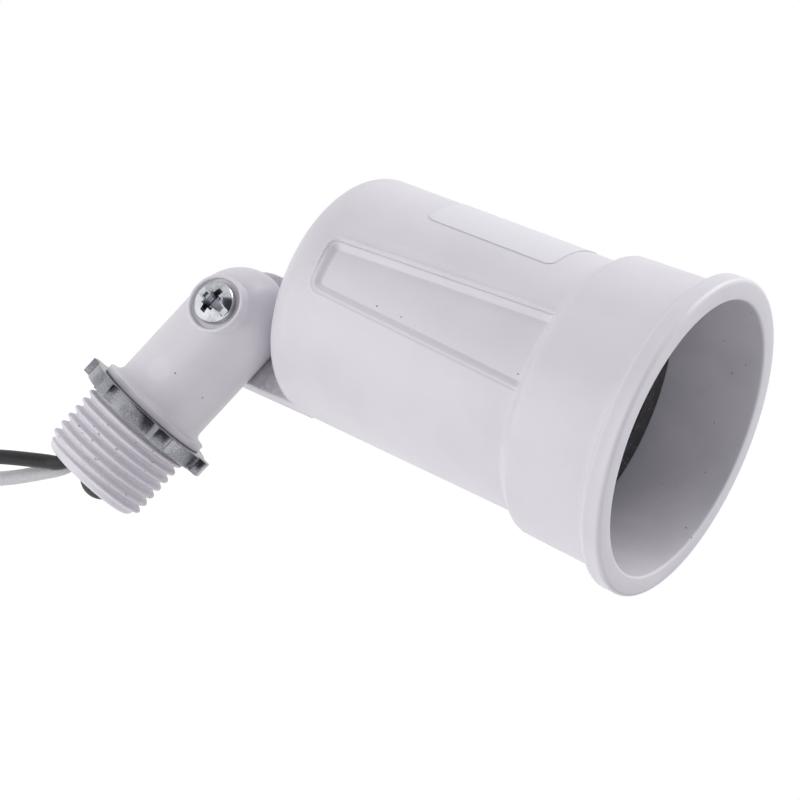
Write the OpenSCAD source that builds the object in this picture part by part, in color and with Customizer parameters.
// Weatherproof swivel lampholder for a reflector heat lamp, in millimetres.
// Z is the axis of the threaded arm, and the origin lies on it at the locknut's
// outer face, where the cover of a junction box seats. The arm goes up. The swivel
// axis runs along Y, and the head points up and towards +X at head_tilt.

/* [Threaded nipple] */
// Radius over the thread's crests, for a 1/2 in conduit hub
thread_r = 10.35; // [9.4:0.05:11.2]
// Depth of the thread
thread_depth = 0.95; // [0.7:0.05:1.15]
// Pitch of the thread, 14 turns to the inch
thread_pitch = 1.814; // [1.6:0.002:2.2]
// Ridges below the locknut's face
thread_ridges = 6; // [5:1:8]
// Length of the plain end past the last ridge
nipple_end = 2.45; // [1.8:0.05:3.5]

/* [Locknut] */
// Thickness of the locknut
nut_t = 3; // [2.6:0.1:3.8]
// Radius of the locknut between its lugs
nut_r = 12.5; // [12:0.1:13.5]
// How far the lugs stand out
lug_h = 1.2; // [0.8:0.1:2]
// Number of lugs
lug_count = 6; // [5:1:8]
// Width of one lug, in degrees
lug_width = 16; // [16:1:22]

/* [Swivel arm] */
// Outer radius of the arm's tube
arm_r = 8.8; // [8:0.1:9.4]
// Wall of the arm
arm_wall = 2.6; // [2.2:0.1:3]
// Height of the swivel axis above the locknut's face
pivot_h = 24.6; // [23:0.1:34]
// How far the flange above the locknut stands past the thread
flange_reach = 0.35; // [0.2:0.05:1.5]
// Thickness of the flange
flange_t = 1.3; // [1:0.1:2]
// Plane of the joint's face, behind the arm's axis
joint_y = 4.2; // [3.8:0.1:4.8]
// Thickness of the gasket in the joint
gasket_t = 0.6; // [0.4:0.1:1]

/* [Clamp screw] */
// Radius of the clamp screw's shank
screw_r = 2.08; // [1.8:0.01:2.2]
// Radius of its pan head
screw_head_r = 3.75; // [3.6:0.05:4.3]
// Height of its head
screw_head_h = 2.6; // [2.2:0.1:3.4]

/* [Head] */
// Angle of the lampholder's axis above the horizontal
head_tilt = 17.7; // [0:0.1:90]
// How far the lampholder's axis passes above the swivel axis
axis_lift = 13; // [11:0.1:13.5]
// How far the lampholder's axis lies behind the arm's axis
axis_y = 8.3; // [7.6:0.1:9]
// Radius of the body where its back rounding ends
body_r = 22; // [21.5:0.1:25]
// Length of the body, from its back to the collar's step
body_len = 49.7; // [48:0.1:57]
// Draft of the casting, in degrees on each side
draft = 1; // [0.5:0.05:1.5]
// Rounding of the body's back edge
back_round = 5.4; // [4.5:0.1:7]
// Wall of the body
body_wall = 2.3; // [1.9:0.1:2.6]
// How far the collar stands out past the body
collar_step = 2.3; // [2.1:0.1:3]
// Length from the collar's step to the mouth
collar_len = 22.7; // [21:0.1:30]
// How far the rolled rim stands out past the collar
rim_out = 2.3; // [1.8:0.1:3]
// Length of the rolled rim
rim_len = 4.3; // [4:0.1:7]
// Wall of the collar at the mouth
mouth_wall = 1.45; // [1.2:0.05:1.8]

/* [Lamp socket] */
// Radius over the crests of the shell's thread, for a medium screw base
shell_r = 12.35; // [11.5:0.05:12.6]
// Height of the shell's thread
shell_thread_h = 0.85; // [0.6:0.05:1]
// Pitch of the shell's thread, 7 turns to the inch
shell_pitch = 3.63; // [3.3:0.01:3.8]
// Turns in the shell
shell_turns = 5; // [4:1:5]
// Wall of the porcelain around the shell
porcelain_wall = 2.5; // [2:0.1:3]
// Thickness of the porcelain's floor
floor_t = 5; // [4:0.1:6]
// Depth of the wiring space behind the porcelain
wiring_depth = 13; // [11:0.1:14]

/* [Leads] */
// Radius over a lead's insulation
lead_r = 1.3; // [1.2:0.05:1.4]
// Radius of a stripped lead end
strand_r = 0.6; // [0.4:0.05:0.8]

/* [Hidden] */
$fn = 64;
eps = 0.02;          // faces of fixed pieces that meet keep this gap
cut = 1;             // how far a cutter runs past what it cuts

// Nipple: ridge 0 is level with the locknut's face, under its countersink.
crest_flat = 0.3;
first_ridge_z = -0.1;
thread_root_r = thread_r - thread_depth;
last_ridge_z = first_ridge_z - thread_ridges * thread_pitch;
nipple_z = last_ridge_z - nipple_end;
nipple_chamfer = 0.9;
runout_r = thread_r - 0.2;
bore_r = arm_r - arm_wall;
flange_r = thread_r + flange_reach;
flange_fillet = 1.4;

// Locknut
nut_bore_r = runout_r + 0.08;
nut_ridge_z = first_ridge_z + thread_pitch / 2;
nut_ridge_r = thread_root_r + 0.3;
nut_ridge_h = 0.9;
nut_chamfer = 0.5;
lug_phase = 20;

// Joint
dome_rise = 0.7;
joint_r = sqrt(arm_r * arm_r - joint_y * joint_y);
knuckle_r = arm_r - 0.6;
screw_boss_r = screw_r + 1.32;
window_r = joint_r - 1.23;
window_front_y = -0.34 * arm_r;
ear_y = joint_y + gasket_t + eps;
ear_back_y = 2 * axis_y - 3.4;
ear_wall = 1.4;
ear_low = axis_lift - body_r + 0.1;
ear_top = knuckle_r + 2.7;
ear_corner_r = 3;
ear_corner_s = 0.5;
ear_reach = norm([sqrt(arm_r * arm_r - ear_y * ear_y), ear_low]);
arm_relief_r = ear_reach + 0.5;
passage_y = joint_y - 1.8;
seat_y = -(arm_r - 0.7);
seat_rim_y = -(arm_r + 0.15);
seat_r = screw_head_r + 1.2;
seat_wall = 0.8;
screw_play = 0.06;
screw_tip_y = ear_back_y - ear_wall - 0.6;
screw_pitch = 0.8;

// Head, measured along the lampholder's axis from the swivel axis
back_s = arm_r + dome_rise + 0.46;
step_s = back_s + body_len;
front_s = step_s + collar_len;
rim_s = front_s - rim_len;
step_in_round = 2.2;
step_out_round = 1.6;
collar_s = step_s + (step_in_round + step_out_round) * sin(step_angle());
collar_draft = 2.5;
collar_r0 = outer_r(step_s) + collar_step;
rim_r = collar_r(rim_s) + rim_out;
bead_round = 1;
bead_drop = 0.3;
lip_round = 1.6;
lip_inner_round = 0.9;
mouth_r = collar_r(rim_s) - mouth_wall;
mouth_draft = 2;
chamber_s = back_s + body_wall;
chamber_round = back_round - body_wall;
porcelain_s = chamber_s + wiring_depth;
floor_s = porcelain_s + floor_t;
shell_wall = 0.4;
shell_out_r = shell_r + shell_thread_h + shell_wall;
shell_foot = 2.2;
shell_end_s = floor_s + shell_foot + shell_turns * shell_pitch;
porcelain_end_s = shell_end_s + 0.8;
porcelain_bore_r = shell_out_r + 0.25;
porcelain_r = porcelain_bore_r + porcelain_wall;
porcelain_flange_r = chamber_r(porcelain_s) - 1;
porcelain_flange_t = 3.5;
shoulder_s = collar_s - 0.3;
lamp_gasket_t = 2.2;
lamp_gasket_inner_r = chamber_r(shoulder_s) - 1.9;

// Raised border and recessed panel on the side, which widens towards the front
panel_u = -0.2;
panel_half_back = 4.4;
panel_half_front = 6.6;
panel_start_s = back_s + 7.9;
panel_depth = 0.7;
border_h = 0.3;
border_w = 1.2;

// Blank label on top of the body
label_start = 41;
label_sweep = 68;
label_len = 25.2;
label_end_s = step_s - 5.8;
label_t = 0.1;

// Socket fittings, from the lampholder's axis
fixing_x = 8;
fixing_r = 1.7;
fixing_head_r = 2.9;
fixing_head_h = 1.8;
fixing_boss_r = 3.6;
fixing_reach = 9;
fixing_play = 0.05;
washer_t = 0.6;
strip_t = 0.5;
strip_w = 6;
rivet_r = 1.25;
rivet_head_r = 2.1;
rivet_head_h = 0.8;
rivet_play = 0.08;
shell_rivet_u = 6.5;
contact_rivet_u = -7.2;
leaf_root_u = -4.3;
leaf_gap = 0.3;
leaf_lift = 0.16;
leaf_t = 0.45;
leaf_rise = 2.9;
leaf_top_u = 1;
leaf_tip_u = 3;
leaf_tip_drop = 0.9;
barrel_r = 2.05;
barrel_play = 0.06;
barrel_len = 5;
black_barrel = [2, -15];
white_barrel = [0, 10.9];

// Leads: where they pass the bushing and the joint
bushing_r = bore_r - 0.05;
bushing_t = 6;
bushing_face_z = nipple_z + 2.2;
bushing_knob = [2.1, -0.6];
bushing_knob_r = 3.9;
bushing_knob_h = 1.7;
mouth_round = min(1.6, thread_root_r - nipple_chamfer - bore_r - 0.3);
black_exit = [-3.7, -2.8];
white_exit = [-4.6, 0.1];
lead_z = pivot_h - 4.95;
lead_x = 1.45;
lead_sides = 8;

// Route of each free lead from the bushing's face, and of its stripped end
black_route = [
    [-3.7, -2.8, -11.26], [-3.85, -2.8, -12.6], [-4.35, -2.9, -13.9], [-5.3, -3.15, -15.1],
    [-6.6, -3.5, -16], [-8.8, -4.6, -17.8], [-11.5, -6, -20.1], [-14.5, -7.5, -22.9],
    [-17.8, -9.1, -26.3], [-20.8, -10.6, -30.3], [-23.6, -12, -35], [-26.2, -13.2, -40.6],
    [-28.4, -14.1, -47], [-30, -14.5, -53.6], [-31, -14.6, -60.6], [-31.4, -14.5, -67.8],
    [-31.2, -14.2, -75], [-30.4, -13.7, -82.2], [-29, -13, -89.2], [-27, -12.2, -96],
    [-24.4, -11.2, -102.4], [-21.2, -10.1, -108.4], [-17.4, -8.9, -114], [-13, -7.6, -119]
];
black_tip_route = [[-13, -7.6, -119], [-9.8, -6.7, -122], [-6.2, -5.8, -124.6]];
white_route = [
    [-4.6, 0.1, -11.26], [-4.65, 0.1, -12.4], [-4.9, 0.05, -13.8], [-5.4, -0.05, -15.1],
    [-6.2, -0.3, -16.5], [-7.7, -0.95, -18.7], [-10.1, -2.2, -22.2], [-12.9, -3.8, -25.8],
    [-15.8, -5.6, -29.7], [-18.4, -7.5, -34.3], [-20.6, -9.4, -39.6], [-22.2, -11.2, -45.6],
    [-23.1, -12.8, -52.2], [-23.4, -14.2, -59.2], [-23.2, -15.4, -66.3], [-22.8, -16.3, -73.4],
    [-22.4, -17, -80.6], [-22.4, -17.7, -87.8], [-23, -18.5, -95], [-24.4, -19.5, -102],
    [-26.6, -20.6, -108.6], [-29.6, -21.8, -114.8], [-33.2, -23, -120.4]
];
white_tip_route = [[-33.2, -23, -120.4], [-36, -23.8, -123.8], [-38.2, -24.4, -127.4]];

// ---------------------------------------------------------------- functions

function arc(c, r, from, to, steps = 6) =
    [for (i = [0:steps]) c + r * [cos(from + (to - from) * i / steps), sin(from + (to - from) * i / steps)]];

function outer_r(s) = body_r + tan(draft) * (s - back_s - back_round);
function chamber_r(s) = outer_r(s) - body_wall;
function step_angle() = acos(1 - collar_step / (step_in_round + step_out_round));
function collar_r(s) = collar_r0 + tan(collar_draft) * (s - collar_s);
function mouth_wall_r(s) = mouth_r - tan(mouth_draft) * (front_s - lip_inner_round - s);

// Points of the shell's thread from its foot up, at a distance out from its crests
function shell_thread(out) = concat(
    [[shell_r + shell_thread_h / 2 + out, floor_s + eps]],
    [for (i = [0:shell_turns - 1]) let (s = floor_s + shell_foot + i * shell_pitch) each [
        [shell_r + shell_thread_h + out, s],
        [shell_r + shell_thread_h + out, s + 0.7],
        [shell_r + out, s + 1.7],
        [shell_r + out, s + 2.5]
    ]],
    [[shell_r + shell_thread_h + out, shell_end_s]]
);

// A swept tube: one ring of points square to the route at each of its points
function unit(v) = v / norm(v);
function heading(route, i) =
    unit(route[min(i + 1, len(route) - 1)] - route[max(i - 1, 0)]);
function side_of(v) = unit(cross(v, [1, -0.6, 0.4]));   // no lead runs this way, so rings never twist
function ring(at, along, r) = let (a = side_of(along), b = cross(along, a))
    [for (k = [0:lead_sides - 1]) at + r * (cos(360 * k / lead_sides) * a + sin(360 * k / lead_sides) * b)];

// A direction square to the joint's face at the joint, so that lengths meet face to face
function lead_at_joint(x) = [
    -sin(head_tilt) * (pivot_h - lead_z) + cos(head_tilt) * x,
    ear_y,
    -cos(head_tilt) * (pivot_h - lead_z) - sin(head_tilt) * x
];

// ---------------------------------------------------------------- frames

module head_frame() {
    translate([0, 0, pivot_h])
        rotate([0, -head_tilt, 0])
            children();
}

// Z runs along the lampholder's axis, X runs back and Y runs up from it
module axis_frame() {
    head_frame()
        translate([0, axis_y, axis_lift])
            rotate([90, 0, 90])
                children();
}

module revolved(points) {
    rotate_extrude(convexity = 8)
        polygon(points);
}

// A part turn of an outline, from start degrees towards up, seen from the side of -Y
module sector(start, sweep, points) {
    rotate([0, 0, 180 - start - sweep])
        rotate_extrude(angle = sweep, convexity = 4)
            polygon(points);
}

// A cylinder along Y from y0 to y1
module cross_rod(r, y0, y1) {
    translate([0, y1, 0])
        rotate([90, 0, 0])
            cylinder(r = r, h = y1 - y0);
}

module swept(route, r, start = undef, end = undef) {
    last = len(route) - 1;
    rings = [for (i = [0:last]) let (
        along = i == 0 && start != undef ? start : i == last && end != undef ? end : heading(route, i)
    ) each ring(route[i], along, r)];
    sides = [for (i = [0:last - 1], k = [0:lead_sides - 1]) let (
        a = i * lead_sides + k, b = i * lead_sides + (k + 1) % lead_sides
    ) each [[a, b, b + lead_sides], [a, b + lead_sides, a + lead_sides]]];
    caps = [
        [for (k = [lead_sides - 1:-1:0]) k],
        [for (k = [0:lead_sides - 1]) last * lead_sides + k]
    ];
    polyhedron(rings, [for (f = concat(sides, caps)) [for (k = [len(f) - 1:-1:0]) f[k]]], convexity = 6);
}

// ---------------------------------------------------------------- arm

module nipple() {
    ridges = [for (i = [thread_ridges:-1:0]) let (z = first_ridge_z - i * thread_pitch) each [
        [thread_root_r, z - thread_pitch / 2 + 0.1],
        [thread_r, z - crest_flat / 2],
        [thread_r, z + crest_flat / 2],
        [thread_root_r, z + thread_pitch / 2 - 0.1]
    ]];
    revolved(concat(
        [[0, nipple_z], [thread_root_r - nipple_chamfer, nipple_z]],
        [[thread_root_r, nipple_z + nipple_chamfer]],
        ridges,
        [[runout_r, first_ridge_z + thread_pitch * 0.95], [runout_r, nut_t]],
        [[flange_r, nut_t], [flange_r, nut_t + flange_t]],
        arc([arm_r + flange_fillet, nut_t + flange_t + flange_fillet], flange_fillet, 270, 180),
        [[0, nut_t + flange_t + flange_fillet]]
    ));
}

// The arm's round end: a dome about the swivel axis, cut flat at the joint's face
module knuckle() {
    intersection() {
        translate([0, 0, pivot_h])
            revolved(concat([[0, -1]], [for (a = [0:6:90]) [arm_r * cos(a), (arm_r + dome_rise) * sin(a)]]));
        translate([-2 * arm_r, joint_y - 4 * arm_r, 0])
            cube([4 * arm_r, 4 * arm_r, pivot_h + 2 * arm_r]);
    }
}

module arm_passage() {
    // round up to the relief, then flat at the back, so that the relief keeps its wall
    translate([0, 0, nipple_z - cut])
        cylinder(r = bore_r, h = pivot_h - arm_relief_r - 1.8 - nipple_z + cut);
    revolved(concat(
        [[0, nipple_z - cut], [bore_r + mouth_round, nipple_z - cut]],
        arc([bore_r + mouth_round, nipple_z + mouth_round], mouth_round, 270, 180),
        [[0, nipple_z + mouth_round]]
    ));
    intersection() {
        cylinder(r = bore_r, h = pivot_h - screw_boss_r - 0.1);
        translate([-arm_r, -arm_r, 0])
            cube([2 * arm_r, arm_r + passage_y, pivot_h]);
    }
    translate([0, 0, pivot_h])
        difference() {
            cross_rod(window_r, window_front_y, joint_y + cut);
            cross_rod(screw_boss_r, window_front_y - cut, joint_y + 2 * cut);
        }
}

module swivel_arm() {
    color("gainsboro")
        difference() {
            union() {
                nipple();
                translate([0, 0, nut_t])
                    cylinder(r = arm_r, h = pivot_h - nut_t);
                knuckle();
                translate([0, 0, pivot_h])
                    cross_rod(seat_r + seat_wall, seat_rim_y, -arm_r / 2);
            }
            arm_passage();
            translate([0, 0, pivot_h]) {
                cross_rod(arm_relief_r, joint_y, 2 * arm_r);
                cross_rod(seat_r, seat_rim_y - cut, seat_y);
                cross_rod(screw_r + screw_play, seat_y - cut, joint_y + cut);
            }
        }
}

module lead_bushing() {
    color("darkslategray")
        difference() {
            union() {
                translate([0, 0, bushing_face_z])
                    cylinder(r = bushing_r, h = bushing_t);
                translate([bushing_knob.x, bushing_knob.y, nipple_z + bushing_knob_r - bushing_knob_h])
                    sphere(r = bushing_knob_r);
            }
            for (exit = [black_exit, white_exit])
                translate([exit.x, exit.y, bushing_face_z - cut])
                    cylinder(r = lead_r + 0.03, h = bushing_t + 2 * cut);
        }
}

module knuckle_gasket() {
    color("dimgray")
        translate([0, 0, pivot_h])
            difference() {
                cross_rod(joint_r - 0.1, joint_y + eps / 2, joint_y + gasket_t);
                cross_rod(window_r + 0.1, joint_y - cut, joint_y + gasket_t + cut);
            }
}

module locknut() {
    color("gray")
        difference() {
            union() {
                revolved([
                    [nut_ridge_r, nut_ridge_z - crest_flat / 2], [thread_r + 0.2, 0],
                    [nut_r, 0], [nut_r, nut_t - eps - nut_chamfer], [nut_r - nut_chamfer, nut_t - eps],
                    [nut_bore_r, nut_t - eps], [nut_bore_r, nut_ridge_z + nut_ridge_h / 2 + crest_flat / 2],
                    [nut_ridge_r, nut_ridge_z + crest_flat / 2]
                ]);
                for (i = [0:lug_count - 1])
                    rotate([0, 0, lug_phase + 360 * i / lug_count])
                        lug();
            }
        }
}

// One lug: a sector of a ring, standing out of the nut's rim
module lug() {
    rotate([0, 0, -lug_width / 2])
        rotate_extrude(angle = lug_width)
            polygon([
                [nut_r - 0.6, 0], [nut_r + lug_h, 0], [nut_r + lug_h, nut_t - eps - nut_chamfer],
                [nut_r + lug_h - nut_chamfer, nut_t - eps], [nut_r - 0.6, nut_t - eps]
            ]);
}

// ---------------------------------------------------------------- clamp screw

module clamp_screw() {
    head_top_y = seat_y - eps - screw_head_h;
    dome = 0.9;
    color("silver")
        translate([0, 0, pivot_h])
            difference() {
                union() {
                    rotate([90, 0, 0])
                        revolved(concat(
                            [[0, -screw_tip_y], [screw_r - 0.4, -screw_tip_y]],
                            [for (i = [0:6]) let (z = 0.6 + i * screw_pitch - screw_tip_y) each [
                                [screw_r - 0.35, z - screw_pitch / 2 + 0.1], [screw_r, z - 0.1],
                                [screw_r, z + 0.1], [screw_r - 0.35, z + screw_pitch / 2 - 0.1]
                            ]],
                            [[screw_r, -ear_y + 0.3], [screw_r, -seat_y + eps]],
                            [[screw_head_r, -seat_y + eps], [screw_head_r, -head_top_y - dome]],
                            arc([screw_head_r - dome, -head_top_y - dome], dome, 0, 75),
                            [[0, -head_top_y]]
                        ));
                }
                for (turn = [0, 90])
                    rotate([0, turn, 0])
                        translate([-2.35, head_top_y - cut, -0.6])
                            cube([4.7, 1.9 + cut, 1.2]);
                translate([-screw_head_r - cut, head_top_y - cut, -0.7])
                    cube([2 * screw_head_r + 2 * cut, 1 + cut, 1.4]);
            }
}

// ---------------------------------------------------------------- housing

module body_outside() {
    a = step_angle();
    revolved(concat(
        [[0, back_s]],
        arc([body_r - back_round, back_s + back_round], back_round, 270, 360),
        arc([outer_r(step_s) + step_in_round, step_s], step_in_round, 180, 180 - a),
        arc([collar_r0 - step_out_round, collar_s], step_out_round, -a, 0),
        [[collar_r(rim_s), rim_s], [collar_r(rim_s) + 0.45, rim_s + 0.15]],
        arc([rim_r - bead_drop - bead_round, rim_s + 0.45 + bead_round], bead_round, -70, 35),
        arc([rim_r - lip_round, front_s - lip_round], lip_round, -15, 90),
        [[0, front_s]]
    ));
}

module body_inside() {
    revolved(concat(
        [[0, chamber_s]],
        arc([chamber_r(chamber_s) - chamber_round, chamber_s + chamber_round], chamber_round, 270, 360),
        [[chamber_r(shoulder_s), shoulder_s], [mouth_wall_r(shoulder_s), shoulder_s]],
        arc([mouth_r + lip_inner_round, front_s - lip_inner_round], lip_inner_round, 180, 100),
        [[mouth_r + lip_inner_round, front_s + cut], [0, front_s + cut]]
    ));
}

// The ear behind the arm, flush with the bottom of the body
module ear() {
    outline = concat(
        [[chamber_s + back_round, ear_top]],
        arc([0, ear_top - knuckle_r], knuckle_r, 90, 180, 12),
        arc([0, 0], knuckle_r, 180, 225),
        arc([ear_corner_s, ear_low + ear_corner_r], ear_corner_r, 200, 270),
        [[back_s + back_round, ear_low], [chamber_s + back_round, ear_low + 2]]
    );
    translate([0, ear_back_y, 0])
        rotate([90, 0, 0])
            linear_extrude(ear_back_y - ear_y)
                polygon(outline);
}

// The way of the leads: a ring window in the ear's face, and a slot into the body
module ear_passage() {
    difference() {
        cross_rod(window_r, ear_y - cut, ear_back_y - ear_wall);
        cross_rod(screw_boss_r, ear_y - 2 * cut, ear_back_y);
    }
    translate([0, ear_y + 1.2, -window_r])
        cube([chamber_s + chamber_round + cut, ear_back_y - ear_wall - ear_y - 1.2, window_r - screw_boss_r]);
}

// A shell over the body between two depths, as wide as the panel and a margin
module panel_shell(margin, low, high) {
    s0 = panel_start_s - margin;
    s1 = step_s + 1;
    intersection() {
        revolved([
            [outer_r(s0) + low, s0], [outer_r(s0) + high, s0], [outer_r(s1) + high, s1], [outer_r(s1) + low, s1]
        ]);
        rotate([0, -90, 0])
            linear_extrude(2 * body_r)
                polygon([
                    [s0, panel_u - panel_half_back - margin], [s1, panel_u - panel_half_front - margin],
                    [s1, panel_u + panel_half_front + margin], [s0, panel_u + panel_half_back + margin]
                ]);
    }
}

module housing() {
    color("gainsboro")
        difference() {
            union() {
                difference() {
                    union() {
                        axis_frame() {
                            body_outside();
                            panel_shell(border_w, -1, border_h);
                        }
                        head_frame()
                            ear();
                    }
                    axis_frame()
                        body_inside();
                }
                axis_frame()
                    for (side = [-1, 1])
                        translate([side * fixing_x, 0, chamber_s - 0.5])
                            cylinder(r = fixing_boss_r, h = wiring_depth + 0.5 - eps);
            }
            axis_frame() {
                panel_shell(0, -panel_depth, 2);
                for (side = [-1, 1])
                    translate([side * fixing_x, 0, porcelain_s - fixing_reach - 0.5])
                        cylinder(r = fixing_r + fixing_play, h = fixing_reach + cut);
            }
            head_frame() {
                ear_passage();
                cross_rod(screw_r + screw_play, ear_y - cut, screw_tip_y + 0.4);
            }
        }
}

module rating_label() {
    s0 = label_end_s - label_len;
    s1 = label_end_s;
    low = eps;
    high = eps + label_t;
    color("white")
        axis_frame()
            sector(label_start, label_sweep, [
                [outer_r(s0) + low, s0], [outer_r(s0) + high, s0],
                [outer_r(s1) + high, s1], [outer_r(s1) + low, s1]
            ]);
}

module lamp_gasket() {
    outer = mouth_wall_r(shoulder_s) - 0.1;
    color("black")
        axis_frame()
            revolved([
                [lamp_gasket_inner_r, shoulder_s + eps], [outer, shoulder_s + eps],
                [outer, shoulder_s + lamp_gasket_t - 0.3], [outer - 0.3, shoulder_s + lamp_gasket_t],
                [lamp_gasket_inner_r, shoulder_s + lamp_gasket_t]
            ]);
}

// ---------------------------------------------------------------- lamp socket

module socket_body() {
    color("ivory")
        axis_frame()
            difference() {
                revolved([
                    [0, porcelain_s], [porcelain_flange_r, porcelain_s],
                    [porcelain_flange_r, porcelain_s + porcelain_flange_t],
                    [porcelain_r, porcelain_s + porcelain_flange_t],
                    [porcelain_r, porcelain_end_s - 0.6], [porcelain_r - 0.6, porcelain_end_s],
                    [porcelain_bore_r, porcelain_end_s], [porcelain_bore_r, floor_s], [0, floor_s]
                ]);
                for (side = [-1, 1])
                    translate([side * fixing_x, 0, porcelain_s - cut])
                        cylinder(r = fixing_r + 0.2, h = floor_t + 2 * cut);
                for (u = [shell_rivet_u, contact_rivet_u])
                    translate([0, u, porcelain_s - cut])
                        cylinder(r = rivet_r + rivet_play, h = floor_t + 2 * cut);
            }
}

module screw_shell() {
    inner = shell_thread(0);
    outer = shell_thread(shell_wall);
    last = len(outer) - 1;
    tab_reach = shell_r + shell_thread_h / 2 + shell_wall / 2;
    color("goldenrod")
        axis_frame()
            difference() {
                union() {
                    revolved(concat(inner, [for (i = [last:-1:0]) outer[i]]));
                    translate([-strip_w / 2, shell_rivet_u - 3, floor_s + eps])
                        cube([strip_w, tab_reach - shell_rivet_u + 3, shell_wall]);
                }
                translate([0, shell_rivet_u, floor_s - cut])
                    cylinder(r = rivet_r + rivet_play, h = 2 * cut + shell_wall);
            }
}

module rivet(u, over) {
    translate([0, u, 0]) {
        translate([0, 0, porcelain_s - strip_t - 2 * eps])
            cylinder(r = rivet_r, h = floor_t + strip_t + over + 4 * eps);
        translate([0, 0, floor_s + over + 2 * eps])
            rivet_head();
        translate([0, 0, porcelain_s - strip_t - 2 * eps])
            mirror([0, 0, 1])
                rivet_head();
    }
}

module rivet_head() {
    revolved([
        [0, 0], [rivet_head_r, 0], [rivet_head_r, rivet_head_h / 2],
        [rivet_head_r - rivet_head_h / 2, rivet_head_h], [0, rivet_head_h]
    ]);
}

module shell_rivet() {
    color("silver")
        axis_frame()
            rivet(shell_rivet_u, shell_wall);
}

module contact_rivet() {
    color("silver")
        axis_frame()
            rivet(contact_rivet_u, strip_t);
}

// A terminal on the back of the porcelain: a strip from a rivet to a crimped barrel
module terminal(u, barrel) {
    turn = atan2(barrel.y - u, barrel.x);
    reach = norm([barrel.x, barrel.y - u]);
    difference() {
        union() {
            translate([0, u, porcelain_s - strip_t - eps / 2])
                rotate([0, 0, turn])
                    translate([-2.4, -2.2, 0])
                        cube([reach + 2.4, 4.4, strip_t]);
            translate([barrel.x, barrel.y, porcelain_s - strip_t - barrel_len - eps / 2])
                cylinder(r = barrel_r, h = barrel_len + strip_t);
        }
        translate([0, u, porcelain_s - strip_t - cut])
            cylinder(r = rivet_r + rivet_play, h = strip_t + 2 * cut);
        translate([barrel.x, barrel.y, porcelain_s - strip_t - barrel_len - cut])
            cylinder(r = lead_r + barrel_play, h = barrel_len + cut - 0.5);
    }
}

module shell_terminal() {
    color("goldenrod")
        axis_frame()
            terminal(shell_rivet_u, white_barrel);
}

module contact_terminal() {
    color("goldenrod")
        axis_frame()
            terminal(contact_rivet_u, black_barrel);
}

module contact_pad() {
    length = leaf_root_u - leaf_gap - contact_rivet_u + 2.8;
    color("goldenrod")
        axis_frame()
            difference() {
                translate([-strip_w / 2, leaf_root_u - leaf_gap - length, floor_s + eps])
                    cube([strip_w, length, strip_t]);
                translate([0, contact_rivet_u, floor_s - cut])
                    cylinder(r = rivet_r + rivet_play, h = strip_t + 2 * cut);
            }
}

// The springing part of the contact strip, which the lamp's tip presses down
module centre_contact() {
    root_s = floor_s + leaf_lift;
    top_s = root_s + leaf_rise;
    color("goldenrod")
        axis_frame()
            translate([-strip_w / 2, 0, 0])
                rotate([90, 0, 90])
                    linear_extrude(strip_w)
                        polygon([
                            [leaf_root_u, root_s], [leaf_top_u, top_s],
                            [leaf_tip_u, top_s - leaf_tip_drop], [leaf_tip_u, top_s - leaf_tip_drop + leaf_t],
                            [leaf_top_u, top_s + leaf_t], [leaf_root_u, root_s + leaf_t]
                        ]);
}

module socket_screws() {
    head_s = floor_s + washer_t + 2 * eps;
    color("silver")
        axis_frame()
            for (side = [-1, 1])
                translate([side * fixing_x, 0, 0])
                    difference() {
                        union() {
                            translate([0, 0, porcelain_s - fixing_reach])
                                cylinder(r = fixing_r, h = head_s - porcelain_s + fixing_reach + 0.1);
                            translate([0, 0, head_s])
                                revolved([
                                    [0, 0], [fixing_head_r, 0], [fixing_head_r, fixing_head_h - 0.6],
                                    [fixing_head_r - 0.6, fixing_head_h], [0, fixing_head_h]
                                ]);
                        }
                        translate([-fixing_head_r - cut, -0.45, head_s + fixing_head_h - 0.9])
                            cube([2 * fixing_head_r + 2 * cut, 0.9, 2]);
                    }
}

module socket_washers() {
    color("darkgray")
        axis_frame()
            for (side = [-1, 1])
                translate([side * fixing_x, 0, floor_s + eps])
                    difference() {
                        cylinder(r = fixing_head_r + 0.1, h = washer_t);
                        translate([0, 0, -cut])
                            cylinder(r = fixing_r + 0.15, h = washer_t + 2 * cut);
                    }
}

// ---------------------------------------------------------------- leads

module black_lead() {
    color("#2a292c")
        swept(black_route, lead_r, start = [0, 0, -1]);
}

module white_lead() {
    color("whitesmoke")
        swept(white_route, lead_r, start = [0, 0, -1]);
}

module stripped_end(route, tip) {
    color("peru")
        swept(tip, strand_r, start = heading(route, len(route) - 1));
}

module black_lead_tip() {
    stripped_end(black_route, black_tip_route);
}

module white_lead_tip() {
    stripped_end(white_route, white_tip_route);
}

// From the bushing's face up the arm, then back through the joint's window
module lead_in_arm(exit, x) {
    route = [
        [exit.x, exit.y, bushing_face_z], [exit.x, exit.y, -5], [exit.x, exit.y, -1],
        [(3 * exit.x + x) / 4, exit.y, 4.5], [(exit.x + 2 * x) / 3, 0.9 * exit.y, 9.5], [x, -2.4, pivot_h - 11.5],
        [x, -1.9, lead_z - 3.6], [x, -0.6, lead_z - 1.4], [x, 1.2, lead_z - 0.2], [x, 2.8, lead_z],
        [x, joint_y + gasket_t, lead_z]
    ];
    swept(route, lead_r, start = [0, 0, 1], end = [0, 1, 0]);
}

module black_lead_in_arm() {
    color("#2a292c")
        lead_in_arm(black_exit, -lead_x);
}

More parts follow.
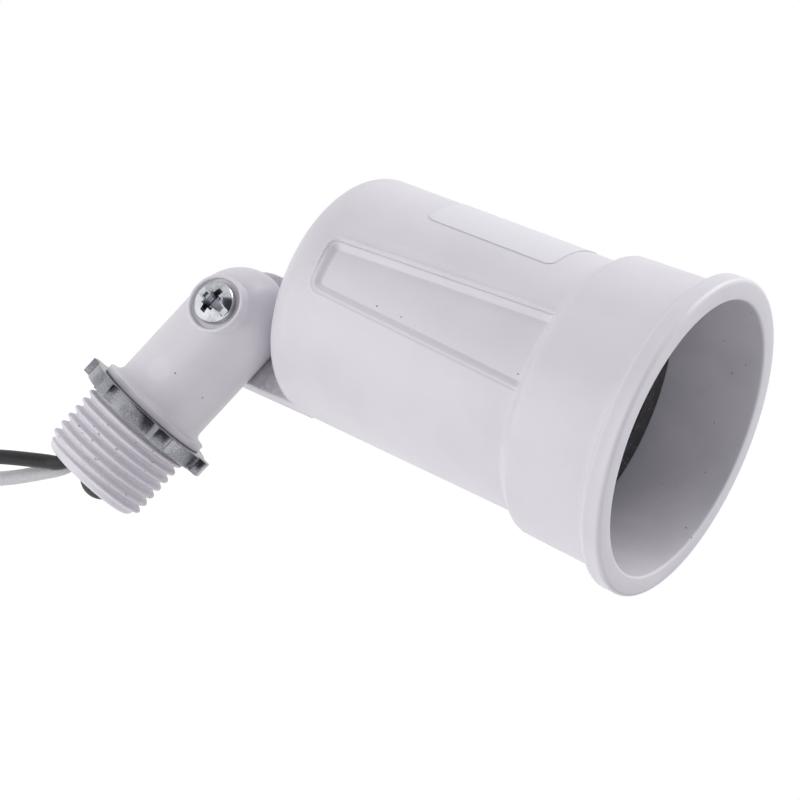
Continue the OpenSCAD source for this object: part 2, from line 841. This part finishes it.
module white_lead_in_arm() {
    color("whitesmoke")
        lead_in_arm(white_exit, lead_x);
}

// From the joint's window past the screw's boss, along the slot, and into its barrel
module black_lead_in_head() {
    start = lead_at_joint(-lead_x);
    end_s = porcelain_s - strip_t - 0.6;
    barrel = [axis_y + black_barrel.x, axis_lift + black_barrel.y];
    route = [
        start, [start.x, 7.2, start.z], [start.x + 0.2, 9, start.z - 0.1],
        [-1.7, 10.2, -4.7], [0.6, 10.35, -4.95], [4, 10.35, -4.95], [12.5, 10.35, -4.95],
        [15, 10.35, -4.5], [17.4, 10.3, -2.9], [barrel_mouth_s(), barrel.x, barrel.y],
        [end_s, barrel.x, barrel.y]
    ];
    color("#2a292c")
        head_frame()
            swept(route, lead_r, start = [0, 1, 0], end = [1, 0, 0]);
}

module white_lead_in_head() {
    start = lead_at_joint(lead_x);
    end_s = porcelain_s - strip_t - 0.6;
    barrel = [axis_y + white_barrel.x, axis_lift + white_barrel.y];
    route = [
        start, [start.x + 0.1, 6, start.z], [0.6, 7.2, -5], [3, 7.5, -4.95], [8, 7.5, -4.95],
        [12, 7.5, -4.95], [14.5, 7.5, -4.3], [16.4, 7.5, -2.8], [17.4, 7.6, -0.4], [17.2, 7.8, 4],
        [16, 8, 9.5], [14.8, 8.2, 15], [14.5, 8.3, 19], [15.6, 8.3, 21.9], [17.4, 8.3, 23.4],
        [barrel_mouth_s(), barrel.x, barrel.y],
        [end_s, barrel.x, barrel.y]
    ];
    color("whitesmoke")
        head_frame()
            swept(route, lead_r, start = [0, 1, 0], end = [1, 0, 0]);
}

function barrel_mouth_s() = porcelain_s - strip_t - barrel_len;

swivel_arm();
lead_bushing();
knuckle_gasket();
locknut();
clamp_screw();
housing();
rating_label();
lamp_gasket();
socket_body();
screw_shell();
shell_rivet();
shell_terminal();
contact_pad();
centre_contact();
contact_rivet();
contact_terminal();
socket_screws();
socket_washers();
black_lead();
white_lead();
black_lead_tip();
white_lead_tip();
black_lead_in_arm();
white_lead_in_arm();
black_lead_in_head();
white_lead_in_head();
